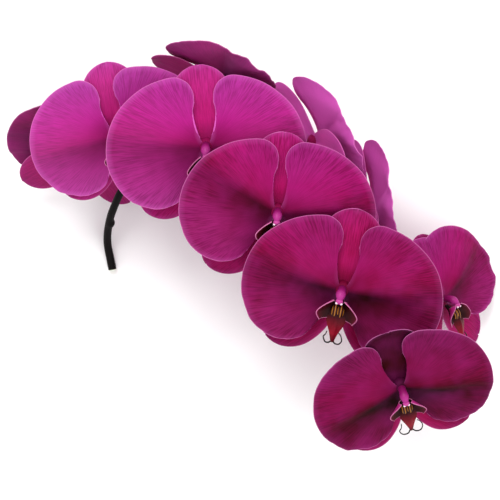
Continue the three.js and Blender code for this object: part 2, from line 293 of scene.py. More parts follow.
def set_ramp(node, stops):
    """Gives a Color Ramp node its stops: (position, hex colour)."""
    elements = node.color_ramp.elements
    elements.remove(elements[-1])
    elements[0].position, elements[0].color = stops[0][0], linear(stops[0][1])
    for position, colour in stops[1:]:
        elements.new(position).color = linear(colour)


print("magenta in linear light:", [round(c, 3) for c in linear("#b3207f")])

# %% [markdown]
# ## The petals
#
# A moth orchid has two very broad petals. Each grows from a narrow claw, opens like a fan and almost meets
# its twin above the column. A crease runs out from the claw, and the petal falls away on both
# sides of it. The outline is a list of points at true size, and a height formula gives the crease, the fall
# and the wave of the margin. A sculpt would do as well, but a formula fits all twenty petals.

# %% The form of a petal
PETAL_OUTLINE = [
    (9, -15),
    (15, -26),
    (27, -29.5),
    (40, -25),
    (49, -13),
    (51, 2.5),
    (45, 19),
    (31.5, 31),
    (16, 36),
    (8.5, 34),
    (5, 29),
    (4.4, 23),
]
PETAL_REACH = 51
PETAL_Z = 0.3
RIDGE_HEIGHT = 3.2
RIDGE_WIDTH_ABOVE = 11
RIDGE_WIDTH_BELOW = 5
WAVE_HEIGHT = 0.7


def crease_share(crease):
    """How far round the outline a crease at this angle meets the margin."""
    shares = np.linspace(0, 1, 2001)
    line = smooth_line(PETAL_OUTLINE, shares)
    angle = np.degrees(np.arctan2(line[:, 1], line[:, 0]))
    return float(shares[np.argmin(np.abs(angle - crease))])


def petal_height(x, y, crease):
    """Height of a petal, and how far each point lies above the crease."""
    reach = np.hypot(x, y) / PETAL_REACH
    above = y * math.cos(math.radians(crease)) - x * math.sin(math.radians(crease))
    swell = np.sin(math.pi * np.minimum(1, reach)) ** 1.3
    soft = np.sqrt(above**2 + 2.2) - 1.1
    width = np.where(above > 0, RIDGE_WIDTH_ABOVE, RIDGE_WIDTH_BELOW)
    ridge = RIDGE_HEIGHT * swell * np.exp(-soft / width)
    lean = np.where(above > 0, -0.1 * above, 0.0045 * above**2)
    wave = WAVE_HEIGHT * reach**3 * np.sin(0.21 * x + 0.33 * y)
    return PETAL_Z + ridge + lean * np.minimum(1, 2 * reach) + wave, above


print("a level crease meets the margin at", round(crease_share(0), 3), "of the outline")

# %% [markdown]
# The grid of a petal runs from the claw to the outline in rows, which crowd towards the margin where the
# ruffles are finest. The ruffles are small waves along the margin that die out inward. Each petal has its
# own seed, which shifts them.

# %% Petals as grids
PETAL_ROWS = 44
PETAL_COLUMNS = 110
CLAW_START = (1.2, 2.4)
CLAW_HALF_WIDTH = 3.6
WAIST_BOW = 2.2
WAIST_FROM = 0.68
OUTLINE_LENGTH = 165
RUFFLES = ((0.4, 2.4), (0.3, 1.1))
ROLL_HEIGHT = 0.9


def edge_distance(points):
    """Millimetres from each point of a grid to the grid's outer edge, its first row left out."""
    rows = np.linalg.norm(np.diff(points, axis=0), axis=-1)
    to_tip = np.vstack([np.cumsum(rows[::-1], axis=0)[::-1], np.zeros(points.shape[1])])
    columns = np.linalg.norm(np.diff(points, axis=1), axis=-1)
    zero = np.zeros((points.shape[0], 1))
    to_left = np.hstack([zero, np.cumsum(columns, axis=1)])
    to_right = np.hstack([np.cumsum(columns[:, ::-1], axis=1)[:, ::-1], zero])
    return np.minimum(to_tip, np.minimum(to_left, to_right))


def petal_grid(seed, crease):
    """The middle surface of a right petal with its marks."""
    u = 1 - (1 - np.linspace(0, 1, PETAL_ROWS + 1)) ** 1.35
    v = np.linspace(0, 1, PETAL_COLUMNS + 1)
    turn = crease_share(crease)
    share = np.where(v < 0.5, 2 * v * turn, mix(turn, 1, 2 * v - 1))
    margin = smooth_line(PETAL_OUTLINE, share)
    u, v = u[:, None], v[None, :]
    waist = np.maximum(0, (v - WAIST_FROM) / (1 - WAIST_FROM))
    start = mix(*CLAW_START, v**4)
    x = mix(start, margin[None, :, 0], u) + WAIST_BOW * waist * 4 * u * (1 - u)
    y = mix(mix(-CLAW_HALF_WIDTH, CLAW_HALF_WIDTH, v), margin[None, :, 1], u)
    z, above = petal_height(x, y, crease)
    fan = np.broadcast_to(share[None, :] * OUTLINE_LENGTH, x.shape)
    ruffle = sum(high * np.sin(fan / long + k * seed) for k, (high, long) in enumerate(RUFFLES, 1))
    z = z + ruffle * np.clip(u * 1.6 - 0.8, 0, 1) ** 2 * (0.4 + 0.6 * (above < 0))
    z = z + ROLL_HEIGHT * np.sin(fan / 13 + 3 * seed) * u**2
    points = np.stack([x, y, z], -1)
    return points, dict(fan=fan, reach=np.broadcast_to(u, x.shape), above=above, edge=edge_distance(points))


def petal(hand, droop, fold, crease, seed, deep):
    """A petal as a sheet. hand is 1 for the right petal and -1 for the left one."""
    points, marks = handed(hand, *petal_grid(seed, crease))
    points = turned(turned(points, hand * fold, "Y"), -hand * droop, "Z")
    return sheet(points, fleshy(marks["edge"], 9), dict(marks, seed=seed, deep=deep, sepal=0))


print("vertices of one petal:", len(petal(1, 0, 0, 5, 0, 0)[0]))

# %% [markdown]
# ## The sepals
#
# Behind the petals stand three narrower leaves of the flower, the sepals: one upright and two that hang
# below. Each is a blunt blade with a groove down its middle and a slightly cupped back. All three come
# from one formula with a length, a width and a fall of their own. The short receptacle that they grow
# from is a round lump.

# %% The form of a sepal
DORSAL_SEPAL = dict(length=41, base=5, half_width=15.5, fullest=0.62, fall=0.14, cup=0.004)
LATERAL_SEPAL = dict(length=47.5, base=4, half_width=14.8, fullest=0.64, fall=0.07, cup=0.003)
SEPAL_Z = -2.4
SEPAL_TIP = 0.8
SEPAL_ROWS = 44
SEPAL_COLUMNS = 30
GROOVE_DEPTH = 0.8
HUB_RADIUS = 4.6
HUB_Z = -2.4


def sepal(form, turn, hood, lift, seed, deep):
    """A sepal as a sheet, turned about the bloom's axis. hood curls its tip, lift raises the whole."""
    reach = (1 - (1 - np.linspace(0, 1, SEPAL_ROWS + 1)) ** 1.8)[:, None]
    v = np.linspace(-1, 1, SEPAL_COLUMNS + 1)[None, :]
    past = np.clip((reach - form["fullest"]) / (1 - form["fullest"]), 0, 1)
    widening = mix(form["base"], form["half_width"], np.sin(0.5 * math.pi * reach / form["fullest"]))
    ending = np.maximum(SEPAL_TIP, form["half_width"] * np.sqrt(1 - past**2))
    side = -v * np.where(reach < form["fullest"], widening, ending)
    along = reach * form["length"] + 0 * side
    height = SEPAL_Z - form["fall"] * along + form["cup"] * side**2 + hood * reach**6
    height = height - GROOVE_DEPTH * np.exp(-((side / 1.5) ** 2)) * (1 - reach)
    height = height + 0.45 * reach**2 * np.sin(along / 4 + 3 * v + seed)
    points = np.stack([side, along, height], -1)
    edge = edge_distance(points)
    points = turned(turned(points, turn, "Z"), -lift, "X")
    marks = dict(fan=side * 1.6 + 60, reach=reach, above=12, edge=edge, seed=seed, deep=deep, sepal=1)
    return sheet(points, fleshy(edge, 6), marks)


def hub(seed, deep):
    """The lump that the sepals and petals grow from."""
    turn = np.linspace(0.02, math.pi - 0.02, 13)
    line = np.stack([0 * turn, 0 * turn, HUB_Z - HUB_RADIUS * np.cos(turn)], -1)
    marks = dict(reach=0, above=12, edge=9, seed=seed, deep=deep, sepal=1, face=1)
    vertices, faces, values = tube(line, HUB_RADIUS * np.sin(turn), 24, marks)
    values["fan"] = values["around"] * 20
    return vertices, faces, values


print("a dorsal sepal is", DORSAL_SEPAL["length"], "mm long")

# %% [markdown]
# ## Petal tissue
#
# The living petal is thin, moist and velvety: tiny domed cells scatter light, so it looks matt and deep from
# the front, with a soft glow at grazing angles. Its tissue is redder near the claw and more violet towards
# the margin. Painted light and shade lie over that: the petal is painted brighter above the crease, a soft
# band of painted shade lies under the crease, painted shade darkens the claw, and the blooms turned from
# the light get painted shade all over. The first step lays out these zones from the marks.

# %% Petal zones
DRIFT_SIZE = 22
PETAL_TISSUE = new_material("petal tissue")
MARK_NAMES = ("fan", "reach", "above", "edge", "seed", "sepal", "face", "deep")
marks = {
    name: add_node(PETAL_TISSUE, "Attribute", attribute_name=name).outputs["Fac"] for name in MARK_NAMES
}


def petal_zones(m):
    """The broad zones of colour: the fan and the claw, with painted shade under the crease, in the throat and
    on the blooms turned from the light.
    """
    spot = add_node(m, "TexCoord").outputs["Object"]
    drift = add_node(m, "TexNoise", {"Vector": spot, "Scale": 1 / (DRIFT_SIZE * MM), "Detail": 1})
    drift = add_node(m, "MapRange", {"Value": drift, "To Min": -5, "To Max": 5})
    drift = add_node(m, "Math", {0: drift, 1: marks["reach"]}, operation="MULTIPLY")
    above = add_node(m, "Math", {0: marks["above"], 1: drift}, operation="ADD")
    height = add_node(m, "MapRange", {"Value": above, "From Min": -30, "From Max": 36})
    # The tissue is more violet towards the margin; its greater brightness above the crease is painted light.
    petals = add_node(m, "ValToRGB", {"Fac": height})
    set_ramp(petals, [(0, "#982678"), (0.3, "#921266"), (0.47, "#9a0c60"), (0.65, "#a9147c"), (1, "#9a2888")])
    sepals = add_node(m, "ValToRGB", {"Fac": marks["reach"]})
    set_ramp(sepals, [(0, "#8e0a44"), (0.3, "#b8106c"), (0.75, "#b81a7a"), (1, "#a41e78")])
    zones = add_node(m, "Mix", {0: marks["sepal"], 6: petals, 7: sepals}, data_type="RGBA")
    petal_only = add_node(m, "Math", {0: 1.0, 1: marks["sepal"]}, operation="SUBTRACT")
    # Near the claw the colour turns dark crimson: partly the tissue's redder base, partly painted shade where
    # the whorls crowd round the column.
    near = add_node(m, "MapRange", {"Value": marks["reach"], "From Max": 0.35, "To Min": 0.6, "To Max": 0})
    throat = add_node(m, "Mix", {0: near, 6: zones, 7: linear("#6e0438")}, data_type="RGBA")
    # A soft band of painted shade under the crease, wandering with the drift and fading towards the margin.
    under = add_node(m, "MapRange", {"Value": above, "From Min": -24, "From Max": -3})
    spread = add_node(m, "Math", {0: marks["reach"], 1: 7, 2: 0.8}, operation="MULTIPLY_ADD")
    upper = add_node(m, "Math", {0: above, 1: spread}, operation="DIVIDE")
    crest = add_node(m, "MapRange", {"Value": upper, "From Min": -1, "To Min": 1, "To Max": 0})
    fade = add_node(m, "MapRange", {"Value": marks["reach"], "From Min": 0.25, "To Min": 1, "To Max": 0.35})
    band = add_node(m, "Math", {0: under, 1: crest}, operation="MULTIPLY")
    band = add_node(m, "Math", {0: band, 1: fade}, operation="MULTIPLY")
    force = add_node(m, "Math", {0: marks["deep"], 1: 0.75, 2: 0.45}, operation="MULTIPLY_ADD")
    # Painted shade on the lower part of the petal near the claw.
    low = add_node(m, "MapRange", {"Value": marks["fan"], "From Min": 8, "From Max": 52,
                                   "To Min": 1, "To Max": 0})
    inward = add_node(m, "MapRange", {"Value": marks["reach"], "From Min": 0.25, "To Min": 1.1, "To Max": 0})
    throat_shade = add_node(m, "Math", {0: low, 1: inward}, operation="MULTIPLY")
    throat_shade = add_node(m, "Math", {0: throat_shade, 1: petal_only}, operation="MULTIPLY")
    band = add_node(m, "Math", {0: band, 1: throat_shade}, operation="MAXIMUM")
    band = add_node(m, "Math", {0: band, 1: force}, operation="MULTIPLY", use_clamp=True)
    shaded = add_node(m, "Mix", {0: band, 6: throat, 7: linear("#330213")}, data_type="RGBA")
    # Blooms turned from the light are darkened all over by painted shade.
    shade_amount = add_node(m, "MapRange", {"Value": marks["deep"], "From Max": 1.6})
    shade = add_node(m, "ValToRGB", {"Fac": shade_amount})
    set_ramp(shade, [(0, "#ffffff"), (0.3, "#deb4bc"), (0.55, "#c48c92"), (1, "#4c1018")])
    return add_node(m, "Mix", {0: 1.0, 6: shaded, 7: shade}, data_type="RGBA", blend_type="MULTIPLY")


zones = petal_zones(PETAL_TISSUE)
print("nodes for the zones:", len(PETAL_TISSUE.node_tree.nodes))

# %% [markdown]
# Fine veins fan out less than a millimetre apart. Noise that is stretched along the petal's own fan gives
# veins that follow its growth, and drawn with an even wave they would look ruled. Larger soft clouds break
# up the colour. The blooms with little painted shade get painted light as well: lilac towards their
# margins, and a paler, more lilac back, a little of which the backs of all blooms share. The margin ends in
# a thin pale line, a painted highlight.

# %% Veins, clouds and rim
VEIN_SPACING = 0.65
CLOUD_SIZE = 14
LIT_RIM_WIDTH = 0.5
MARGIN_LIGHT_WIDTH = 3.5


def petal_pattern(m, zones):
    """The colour of the tissue with its pattern and painted light, and the veins by themselves for the bump.
    """
    across = add_node(m, "Math", {0: marks["fan"], 1: 1 / VEIN_SPACING}, operation="MULTIPLY")
    along = add_node(m, "Math", {0: marks["reach"], 1: 5}, operation="MULTIPLY")
    apart = add_node(m, "Math", {0: marks["seed"], 1: 7.3}, operation="MULTIPLY")
    place = add_node(m, "CombineXYZ", {"X": across, "Y": along, "Z": apart})
    veins = add_node(m, "TexNoise", {"Vector": place, "Scale": 1, "Detail": 2, "Roughness": 0.6})
    share = add_node(m, "MapRange", {"Value": veins, "From Min": 0.42, "From Max": 0.62})
    growth = add_node(m, "MapRange", {"Value": marks["reach"], "From Min": 0.1, "From Max": 0.8,
                                      "To Min": 0.15, "To Max": 0.8})
    strength = add_node(m, "Math", {0: share, 1: growth}, operation="MULTIPLY")
    veined = add_node(m, "Mix", {0: strength, 6: zones, 7: linear("#b870a0")}, data_type="RGBA",
                      blend_type="MULTIPLY")
    spot = add_node(m, "TexCoord").outputs["Object"]
    clouds = add_node(m, "TexNoise", {"Vector": spot, "Scale": 1 / (CLOUD_SIZE * MM), "Detail": 2})
    patch = add_node(m, "MapRange", {"Value": clouds, "From Min": 0.35, "From Max": 0.75, "To Max": 0.16})
    clouded = add_node(m, "Mix", {0: patch, 6: veined, 7: linear("#ba2a90")}, data_type="RGBA")
    # The back is painted paler and more lilac: a little on every bloom as its own colour, most on the blooms
    # with little painted shade as painted light.
    behind = add_node(m, "MapRange", {"Value": marks["face"], "To Min": 1, "To Max": 0})
    lit_back = add_node(m, "MapRange", {"Value": marks["deep"], "From Max": 0.8, "To Min": 0.75, "To Max": 0.1})
    behind = add_node(m, "Math", {0: behind, 1: lit_back}, operation="MULTIPLY")
    both = add_node(m, "Mix", {0: behind, 6: clouded, 7: linear("#e25cc4")}, data_type="RGBA")
    # Painted light: the blooms with little painted shade are lightened with lilac towards their margins.
    lit_glow = add_node(m, "MapRange", {"Value": marks["deep"], "From Max": 0.2, "To Min": 0.18, "To Max": 0})
    lit_glow = add_node(m, "Math", {0: lit_glow, 1: marks["reach"]}, operation="MULTIPLY")
    margin_light = add_node(m, "MapRange", {"Value": marks["edge"], "From Max": MARGIN_LIGHT_WIDTH,
                                     "To Min": 0.26, "To Max": 0})
    lit_share = add_node(m, "MapRange", {"Value": marks["deep"], "From Max": 0.9, "To Min": 1, "To Max": 0.25})
    margin_light = add_node(m, "Math", {0: margin_light, 1: lit_share}, operation="MULTIPLY")
    margin_light = add_node(m, "Math", {0: margin_light, 1: lit_glow}, operation="ADD")
    both = add_node(m, "Mix", {0: margin_light, 6: both, 7: linear("#cc62ba")}, data_type="RGBA")
    # A thin pale line along the margin: a painted highlight.
    line = add_node(m, "MapRange", {"Value": marks["edge"], "From Min": 0.1, "From Max": LIT_RIM_WIDTH,
                                    "To Min": 0.4, "To Max": 0})
    return add_node(m, "Mix", {0: line, 6: both, 7: linear("#dc7cba")}, data_type="RGBA"), veins


colour, veins = petal_pattern(PETAL_TISSUE, zones)
print("nodes with the pattern:", len(PETAL_TISSUE.node_tree.nodes))

# %% [markdown]
# The surface itself is matt, with a weak gloss and no sheen, and the veins lift it by a
# few tenths of a millimetre.

# %% Petal surface


def finish(material, colour, roughness, specular=0.3, sheen=0.0, bump=None, depth=0.0003):
    """Sets the outer look of a material: colour, gloss, sheen and, if given, a bump."""
    shader = material.node_tree.nodes["Principled BSDF"]
    material.node_tree.links.new(next(o for o in colour.outputs if o.enabled), shader.inputs["Base Color"])
    shader.inputs["Roughness"].default_value = roughness
    shader.inputs["IOR"].default_value = 1.4
    shader.inputs["Specular IOR Level"].default_value = specular
    shader.inputs["Sheen Weight"].default_value = sheen
    shader.inputs["Sheen Roughness"].default_value = 0.4
    shader.inputs["Sheen Tint"].default_value = linear("#f0a0dc")
    if bump:
        relief = add_node(material, "Bump", {"Height": bump, "Strength": 0.4, "Distance": depth})
        material.node_tree.links.new(relief.outputs[0], shader.inputs["Normal"])


finish(PETAL_TISSUE, colour, roughness=0.6, specular=0.07, bump=veins, depth=0.00012)
print("made", PETAL_TISSUE.name)

# %% [markdown]
# Now the ten blooms are put together. The sepals form the back whorl and the petals the front one, so they
# are two pieces that overlap as on the plant. Every bloom has its own number, which shifts its ruffles and
# veins, so that no two are copies.

# %% Sepals and petals of every bloom
for number, bloom in enumerate(BLOOMS, 1):
    place = placement(bloom)
    node = f"bloom_{number}"
    # Each bloom's painted shade darkens its petals and its upper sepal, and in part its lateral sepals.
    seed, (left, right, deep) = 1.7 * number, bloom["deep"]
    angle, lift = bloom["lateral"]
    whorl = [sepal(DORSAL_SEPAL, 0, bloom["hood"], 0, seed, deep), hub(seed, deep)]
    for hand, shade in ((-1, left), (1, right)):
        whorl.append(sepal(LATERAL_SEPAL, -hand * angle, 0, lift, seed + hand, 0.3 + 0.5 * shade))
    make_piece(f"sepals_{number}", whorl, PETAL_TISSUE, place, node)
    swing = zip((-1, 1), bloom["droop"], bloom["fold"], bloom["crease"], (left, right))
    pair = [petal(hand, *bend, seed + hand, shade) for hand, *bend, shade in swing]
    make_piece(f"petals_{number}", pair, PETAL_TISSUE, place, node)

# %% [markdown]
# ## The column
#
# The column is the short pillar in the middle of the flower that carries pollen and stigma. It is smooth,
# waxy and brighter than the petals. It leans out over the lip and ends in a small cap with two pale spots,
# partly the pale anther and partly painted highlights. A tube with a changing radius gives the pillar, and
# three small lumps give the cap and its spots.

# %% The form of the column
COLUMN_LINE = [(0, 1, 2.2), (0, 1, 4.5), (0, 0.3, 7), (0, -1, 9), (0, -2.6, 10.2), (0, -3.6, 10.4)]
COLUMN_RADII = [(0, 2.3), (0.3, 2.1), (0.6, 2.3), (0.85, 2.5), (0.97, 1.8), (1, 1)]
CAP_AT = (0, -3.1, 10.3)
CAP_SIZE = (1.9, 1.5, 1.6)
HIGHLIGHT_SPOTS = [(-1.2, -4, 11.1), (1.2, -4, 11.1)]
HIGHLIGHT_SPOT_SIZE = (0.7, 0.6, 0.6)


def lump(at, size, sides=20, marks=None):
    """A closed round body with half-sizes of its own along x, y and z."""
    turn = np.linspace(0.03, math.pi - 0.03, 15)
    line = np.stack([0 * turn, 0 * turn, -np.cos(turn)], -1)
    vertices, faces, values = tube(line, np.sin(turn), sides, marks)
    return vertices * size + at, faces, values


def column():
    """The shells of a column: pillar, cap and two spots."""
    shares = np.linspace(0, 1, 30)
    line = smooth_line(COLUMN_LINE, shares)
    radii = smooth_line(COLUMN_RADII, shares, even=False)[:, 1]
    shells = [tube(line, radii, 24, dict(cap=0)), lump(CAP_AT, CAP_SIZE, marks=dict(cap=0.6))]
    return shells + [lump(spot, HIGHLIGHT_SPOT_SIZE, marks=dict(cap=1)) for spot in HIGHLIGHT_SPOTS]


print("shells of a column:", len(column()))

# %% [markdown]
# One material serves the whole column: pink below, paler at the cap, with cream spots. The paler cap and
# the spots are partly painted highlights.

# %% Column tissue
PORE_SIZE = 0.8
COLUMN_TISSUE = new_material("column tissue")
cap = add_node(COLUMN_TISSUE, "Attribute", attribute_name="cap").outputs["Fac"]
along = add_node(COLUMN_TISSUE, "Attribute", attribute_name="along").outputs["Fac"]
pillar_colour = add_node(COLUMN_TISSUE, "ValToRGB", {"Fac": along})
set_ramp(pillar_colour, [(0, "#60063a"), (0.4, "#800e58"), (0.75, "#a4287c"), (1, "#942070")])
# Paler at the cap and cream on the spots: partly the anther's own colour, partly painted highlights.
cap_colour = add_node(COLUMN_TISSUE, "ValToRGB", {"Fac": cap})
set_ramp(cap_colour, [(0, "#b02c84"), (0.6, "#b43c8a"), (1, "#f2d4e4")])
is_cap = add_node(COLUMN_TISSUE, "MapRange", {"Value": cap, "From Max": 0.5})
colour = add_node(COLUMN_TISSUE, "Mix", {0: is_cap, 6: pillar_colour, 7: cap_colour}, data_type="RGBA")
spot = add_node(COLUMN_TISSUE, "TexCoord").outputs["Object"]
pores = add_node(COLUMN_TISSUE, "TexNoise", {"Vector": spot, "Scale": 1 / (PORE_SIZE * MM), "Detail": 2})
finish(COLUMN_TISSUE, colour, roughness=0.4, specular=0.25, bump=pores, depth=0.00008)
for number, bloom in enumerate(BLOOMS, 1):
    make_piece(f"pillar_{number}", column(), COLUMN_TISSUE, placement(bloom), f"column_{number}")
print("columns:", len(BLOOMS))

# %% [markdown]
# ## The lip
#
# The third petal of an orchid is the lip, the landing place of its pollinator. Two side lobes stand up
# beside the column like hands, dark crimson within and pink without, with a thin pale rim. Between them
# sits the callus, a brown lump with amber stripes. The midlobe runs forward as a crimson arrowhead and ends
# in two curled threads. Each side lobe is a sheet between two lines, its foot and its rim.

# %% The form of the lip
LOBE_FOOT = [(2.6, -12.6, 8.4), (2.4, -8.6, 6.4), (1.6, -5, 4.4)]
LOBE_RIM = [(8.4, -14.4, 9.8), (10.3, -10.2, 11.2), (6.6, -5.4, 12.2), (2.6, -2.6, 11)]
LOBE_BULGE = 1.5
MIDLOBE_SPINE = [(0, -3, 1.5), (0, -8, 7), (0, -15, 9.5), (0, -25, 8.5)]
MIDLOBE_WIDTHS = [(0, 1), (0.3, 2.4), (0.5, 4.4), (0.62, 5.5), (0.78, 4.4), (0.92, 2.3), (1, 0.5)]


def side_lobe(hand):
    """A side lobe as a sheet. hand is 1 for the right lobe and -1 for the left one."""
    u = np.linspace(0, 1, 25)
    v = np.linspace(0, 1, 37)
    foot = smooth_line(LOBE_FOOT, v, even=False)
    rim = smooth_line(LOBE_RIM, v, even=False)
    points = mix(foot[None], rim[None], u[:, None, None])
    points[..., 0] += LOBE_BULGE * np.sin(math.pi * u)[:, None]
    points[..., 2] += 0.35 * u[:, None] ** 2 * np.sin(9 * v)[None]
    reach = np.broadcast_to(u[:, None], points.shape[:2])
    points, marks = handed(hand, points, dict(reach=reach, edge=edge_distance(points)))
    return sheet(points, 0.4 + 0.5 * np.clip(marks["edge"] / 4, 0, 1), dict(marks, lobe=0))


def midlobe():
    """The midlobe as a thick sheet with a low keel along its middle."""
    u = np.linspace(0, 1, 41)
    v = np.linspace(-1, 1, 25)
    spine = smooth_line(MIDLOBE_SPINE, u, even=False)
    half = smooth_line(MIDLOBE_WIDTHS, u, even=False)[:, 1]
    side = -half[:, None] * v[None]
    ahead, up = (np.broadcast_to(spine[:, k : k + 1], side.shape) for k in (1, 2))
    points = np.stack([side, ahead, up], -1)
    points[..., 2] += 0.5 * np.exp(-((side / 0.9) ** 2)) - 0.035 * side**2
    edge = edge_distance(points)
    return sheet(points, 0.7 + 0.7 * np.clip(edge / 3, 0, 1), dict(reach=u[:, None], edge=edge, lobe=1))


print("vertices of a lip:", 2 * len(side_lobe(1)[0]) + len(midlobe()[0]))

# %% [markdown]
# The lip's tissue is smooth and fleshy, with more gloss than the petals. The marks say which face of which
# lobe a point is on, so one material can be dark within, pink without and pale along the rim.

# %% Lip tissue
SPECKLE_SIZE = 2
LIP_TISSUE = new_material("lip tissue")


def lip_colour(m):
    """The colour of the lobes, and the grain by itself for the bump."""
    names = ("reach", "edge", "face", "lobe")
    reach, edge, face, lobe = (add_node(m, "Attribute", attribute_name=name).outputs["Fac"] for name in names)
    # Inside, the side lobes are dark crimson, darkened to near black towards the foot by painted shade deep
    # in the cavity.
    inner = add_node(m, "ValToRGB", {"Fac": reach})
    set_ramp(inner, [(0, "#140104"), (0.4, "#30040a"), (0.8, "#4e0a1c"), (1, "#80204c")])
    outer = add_node(m, "ValToRGB", {"Fac": reach})
    set_ramp(outer, [(0, "#6a0830"), (0.5, "#981660"), (1, "#ac2c80")])
    sides = add_node(m, "Mix", {0: face, 6: outer, 7: inner}, data_type="RGBA")
    line = add_node(m, "MapRange", {"Value": edge, "From Min": 0.08, "From Max": 0.28,
                                    "To Min": 0.7, "To Max": 0})
    rimmed = add_node(m, "Mix", {0: line, 6: sides, 7: linear("#d883b0")}, data_type="RGBA")
    # The midlobe is crimson, near black at its base between the side lobes where painted shade lies, and
    # darker at the tip.
    middle = add_node(m, "ValToRGB", {"Fac": reach})
    set_ramp(middle, [(0, "#100104"), (0.5, "#28030a"), (0.68, "#66081c"), (0.84, "#8a0a24"), (1, "#40040e")])
    whole = add_node(m, "Mix", {0: lobe, 6: rimmed, 7: middle}, data_type="RGBA")
    spot = add_node(m, "TexCoord").outputs["Object"]
    grain = add_node(m, "TexNoise", {"Vector": spot, "Scale": 1 / (SPECKLE_SIZE * MM), "Detail": 3})
    share = add_node(m, "MapRange", {"Value": grain, "From Min": 0.4, "From Max": 0.7, "To Max": 0.35})
    speckled = add_node(m, "Mix", {0: share, 6: whole, 7: linear("#b05070")}, data_type="RGBA",
                        blend_type="MULTIPLY")
    return speckled, grain


colour, grain = lip_colour(LIP_TISSUE)
finish(LIP_TISSUE, colour, roughness=0.45, specular=0.15, bump=grain, depth=0.00006)
print("made", LIP_TISSUE.name)

# %% [markdown]
# The callus is a two-humped lump. Its stripes run up from the midlobe, so they are drawn
# across its width: a sine of the mark that goes round it, bent a little by noise.

# %% Callus
HUMP_AT = (1.4, -9.2, 8)
HUMP_SIZE = (1.9, 3.6, 1.9)
STRIPE_TURN = 4.4
WAVER_SIZE = 2.5
CALLUS_TISSUE = new_material("callus tissue")
around = add_node(CALLUS_TISSUE, "Attribute", attribute_name="stripe").outputs["Fac"]
spot = add_node(CALLUS_TISSUE, "TexCoord").outputs["Object"]
waver = add_node(CALLUS_TISSUE, "TexNoise", {"Vector": spot, "Scale": 1 / (WAVER_SIZE * MM), "Detail": 1})
bent = add_node(CALLUS_TISSUE, "Math", {0: waver, 1: 1.6, 2: around}, operation="MULTIPLY_ADD")
stripe = add_node(CALLUS_TISSUE, "Math", {0: bent}, operation="SINE")
stripe = add_node(CALLUS_TISSUE, "MapRange", {"Value": stripe, "From Min": -1})
colour = add_node(CALLUS_TISSUE, "ValToRGB", {"Fac": stripe})
set_ramp(colour, [(0, "#260604"), (0.55, "#400e06"), (0.82, "#742e0c"), (1, "#b07c30")])
finish(CALLUS_TISSUE, colour, roughness=0.4, specular=0.25, bump=waver, depth=0.0001)


def callus():
    """The shells of a callus: two humps side by side, marked for their stripes."""
    humps = []
    for side in (-1, 1):
        vertices, faces, values = lump(np.multiply(HUMP_AT, (side, 1, 1)), HUMP_SIZE, 28)
        values["stripe"] = vertices[:, 0] * STRIPE_TURN
        humps.append((vertices, faces, values))
    return humps


print("shells of a callus:", len(callus()))

# %% [markdown]
# The two threads at the tip, the cirri, are nearly black and hair thin. Hair curves would be the usual
# choice in a large scene, but two thin tubes are plain meshes and keep the lip a solid thing.

# %% Cirri and the finished lips
CIRRUS_FOOT = (0.4, -24.4, 8.5)
CIRRUS = [(0, 0, 0), (2.2, -1.9, 0.8), (5.2, -1, 1.9), (6.8, 2.6, 2.5), (6, 6, 2.7), (4.4, 7.4, 2.5)]
CIRRUS_RADII = (0.42, 0.26)
CIRRUS_STEPS = 50
CIRRUS_TISSUE = new_material("cirrus tissue")
spot = add_node(CIRRUS_TISSUE, "TexCoord").outputs["Object"]
tone = add_node(CIRRUS_TISSUE, "TexNoise", {"Vector": spot, "Scale": 1 / (1.5 * MM), "Detail": 2})
colour = add_node(CIRRUS_TISSUE, "ValToRGB", {"Fac": tone})
set_ramp(colour, [(0.3, "#060203"), (0.7, "#14050a")])
finish(CIRRUS_TISSUE, colour, roughness=0.4)


def cirrus(hand, number):
    """One curled thread. The number of its bloom sets how far it reaches and how it sways."""
    curl = 0.75 - 0.25 * math.sin(3.3 * number)
    sway = 0.5 * np.sin((number + hand) * np.arange(1, len(CIRRUS) + 1)) * np.linspace(0, 1, len(CIRRUS))
    bent = (np.array(CIRRUS) * curl + CIRRUS_FOOT) * (hand, 1, 1) + np.stack([sway, -sway, sway], -1)
    line = smooth_line(bent, np.linspace(0, 1, CIRRUS_STEPS))
    return tube(line, np.linspace(*CIRRUS_RADII, CIRRUS_STEPS), 10)


for number, bloom in enumerate(BLOOMS, 1):
    place = placement(bloom)
    node = f"lip_{number}"
    make_piece(f"lobes_{number}", [side_lobe(1), side_lobe(-1), midlobe()], LIP_TISSUE, place, node)
    make_piece(f"callus_{number}", callus(), CALLUS_TISSUE, place, node)
    cirri = [cirrus(hand, number) for hand in (1, -1)]
    make_piece(f"cirri_{number}", cirri, CIRRUS_TISSUE, place, node)
print("lips:", len(BLOOMS))

# %% [markdown]
# ## The stalk
#
# The peduncle is a smooth, round, nearly black stalk with one low node. Ten thin pedicels leave it, each
# running along it for a little way before it bends to the back of its bloom, as growth and weight shape
# them. One tube along a smooth line makes the main stalk. Its radius is a formula, so the taper and the
# swelling of the node cost nothing extra.

# %% The form of the stalk
STEM_LINE = [
    (-78.6, -10.4, 2.3),
    (-79.8, -4, 3.2),
    (-81, 4.5, 7),
    (-80, 13, 14),
    (-76.5, 23, 24),
    (-69, 36, 34),
    (-54, 50, 40),
    (-30, 60, 42),
    (-4, 58, 43),
    (17, 44, 44),
    (35, 22, 46),
    (52, -4, 49),
    (67, -30, 50),
    (76, -48, 51),
]
STALK_RADII = (2.3, 1.3)
STALK_SIDES = 32
NODE_AT = 0.115
NODE_HEIGHT = 0.5


